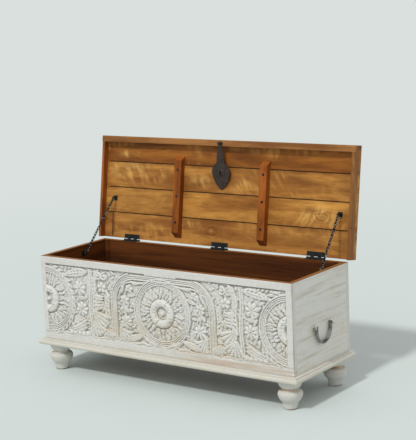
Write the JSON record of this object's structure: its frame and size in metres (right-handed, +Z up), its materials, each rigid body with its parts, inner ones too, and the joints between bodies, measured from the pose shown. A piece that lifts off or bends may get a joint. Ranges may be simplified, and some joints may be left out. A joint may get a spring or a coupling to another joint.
{
  "type": "carved trunk",
  "caption": "Low whitewashed wooden chest with a carved front, turned feet and a hinged plank lid held open by chains.",
  "frame": {"origin": "on the floor, under the middle of the bounding box with the lid open", "axes": "+X along the trunk to the right as seen from the front, +Y to the back, +Z up"},
  "size_m": [1.165, 0.4874, 0.8579],
  "materials": {
    "whitewashed_wood": "chalky whitewash over carved wood, worn at the edges",
    "natural_wood": "oiled golden brown wood, satin",
    "inside_wood": "dark brown stained wood, matt",
    "black_iron": "blackened iron, satin",
    "hasp_iron": "dark cast iron, worn",
    "painted_iron": "iron under thin whitewash"
  },
  "bodies": {
    "base": {"front_panel": "whitewashed_wood", "back_panel": "whitewashed_wood", "left_panel": "whitewashed_wood", "right_panel": "whitewashed_wood", "floor_board_1": "inside_wood", "floor_board_2": "inside_wood", "floor_board_3": "inside_wood", "plinth_front": "whitewashed_wood", "plinth_back": "whitewashed_wood", "plinth_left": "whitewashed_wood", "plinth_right": "whitewashed_wood", "foot_front_left": "whitewashed_wood", "foot_front_right": "whitewashed_wood", "foot_back_left": "whitewashed_wood", "foot_back_right": "whitewashed_wood", "hinge_1_wall_leaf": "black_iron", "hinge_2_wall_leaf": "black_iron", "hinge_3_wall_leaf": "black_iron", "hinge_1_pin": "black_iron", "hinge_2_pin": "black_iron", "hinge_3_pin": "black_iron", "chain_plate_wall_left": "black_iron", "chain_plate_wall_right": "black_iron", "handle_eyes_left": "painted_iron", "handle_eyes_right": "painted_iron"},
    "lid": {"lid_plank_1_end": "natural_wood", "lid_plank_1": "natural_wood", "lid_plank_2": "natural_wood", "lid_plank_3": "natural_wood", "lid_plank_4": "natural_wood", "lid_rail_front": "natural_wood", "lid_rail_left": "natural_wood", "lid_rail_right": "natural_wood", "lid_batten_left": "natural_wood", "lid_batten_right": "natural_wood", "hinge_1_lid_leaf": "black_iron", "hinge_2_lid_leaf": "black_iron", "hinge_3_lid_leaf": "black_iron", "chain_plate_lid_left": "black_iron", "chain_plate_lid_right": "black_iron", "hasp_staple": "black_iron"},
    "hasp": {"hasp": "hasp_iron"},
    "handle_left": {"handle_left": "painted_iron"},
    "chain_lower_left": {"chain_lower_left": "black_iron"},
    "chain_upper_left": {"chain_upper_left": "black_iron"},
    "handle_right": {"handle_right": "painted_iron"},
    "chain_lower_right": {"chain_lower_right": "black_iron"},
    "chain_upper_right": {"chain_upper_right": "black_iron"}
  },
  "joints": [
    {"name": "lid_hinge", "type": "hinge", "parent": "base", "child": "lid", "pos_m": [0, 0.16165, 0.44715], "axis": [1, 0, 0], "range_deg": [0, 98.8]},
    {"name": "hasp_swing", "type": "hinge", "parent": "lid", "child": "hasp", "pos_m": [0, 0.19195, 0.84778], "axis": [1, 0, 0], "range_deg": [-114, 0]},
    {"name": "handle_left_swing", "type": "hinge", "parent": "base", "child": "handle_left", "pos_m": [-0.572, -0.04165, 0.266], "axis": [0, 1, 0], "range_deg": [0, 165]},
    {"name": "chain_lower_left_swing", "type": "hinge", "parent": "base", "child": "chain_lower_left", "pos_m": [-0.531, 0.00035, 0.415], "axis": [1, 0, 0], "range_deg": [-154, 0]},
    {"name": "chain_upper_left_swing", "type": "hinge", "parent": "lid", "child": "chain_upper_left", "pos_m": [-0.518, 0.1731, 0.61164], "axis": [1, 0, 0], "range_deg": [-21, 0]},
    {"name": "handle_right_swing", "type": "hinge", "parent": "base", "child": "handle_right", "pos_m": [0.572, -0.04165, 0.266], "axis": [0, -1, 0], "range_deg": [0, 165]},
    {"name": "chain_lower_right_swing", "type": "hinge", "parent": "base", "child": "chain_lower_right", "pos_m": [0.531, 0.00035, 0.415], "axis": [1, 0, 0], "range_deg": [-154, 0]},
    {"name": "chain_upper_right_swing", "type": "hinge", "parent": "lid", "child": "chain_upper_right", "pos_m": [0.518, 0.1731, 0.61164], "axis": [1, 0, 0], "range_deg": [-21, 0]}
  ],
  "couplings": [
    {"joint": "hasp_swing", "follows": "lid_hinge", "ratio": -1.14},
    {"joint": "chain_lower_left_swing", "follows": "lid_hinge", "ratio": -1.55},
    {"joint": "chain_upper_left_swing", "follows": "lid_hinge", "ratio": -0.2},
    {"joint": "chain_lower_right_swing", "follows": "lid_hinge", "ratio": -1.55},
    {"joint": "chain_upper_right_swing", "follows": "lid_hinge", "ratio": -0.2}
  ]
}
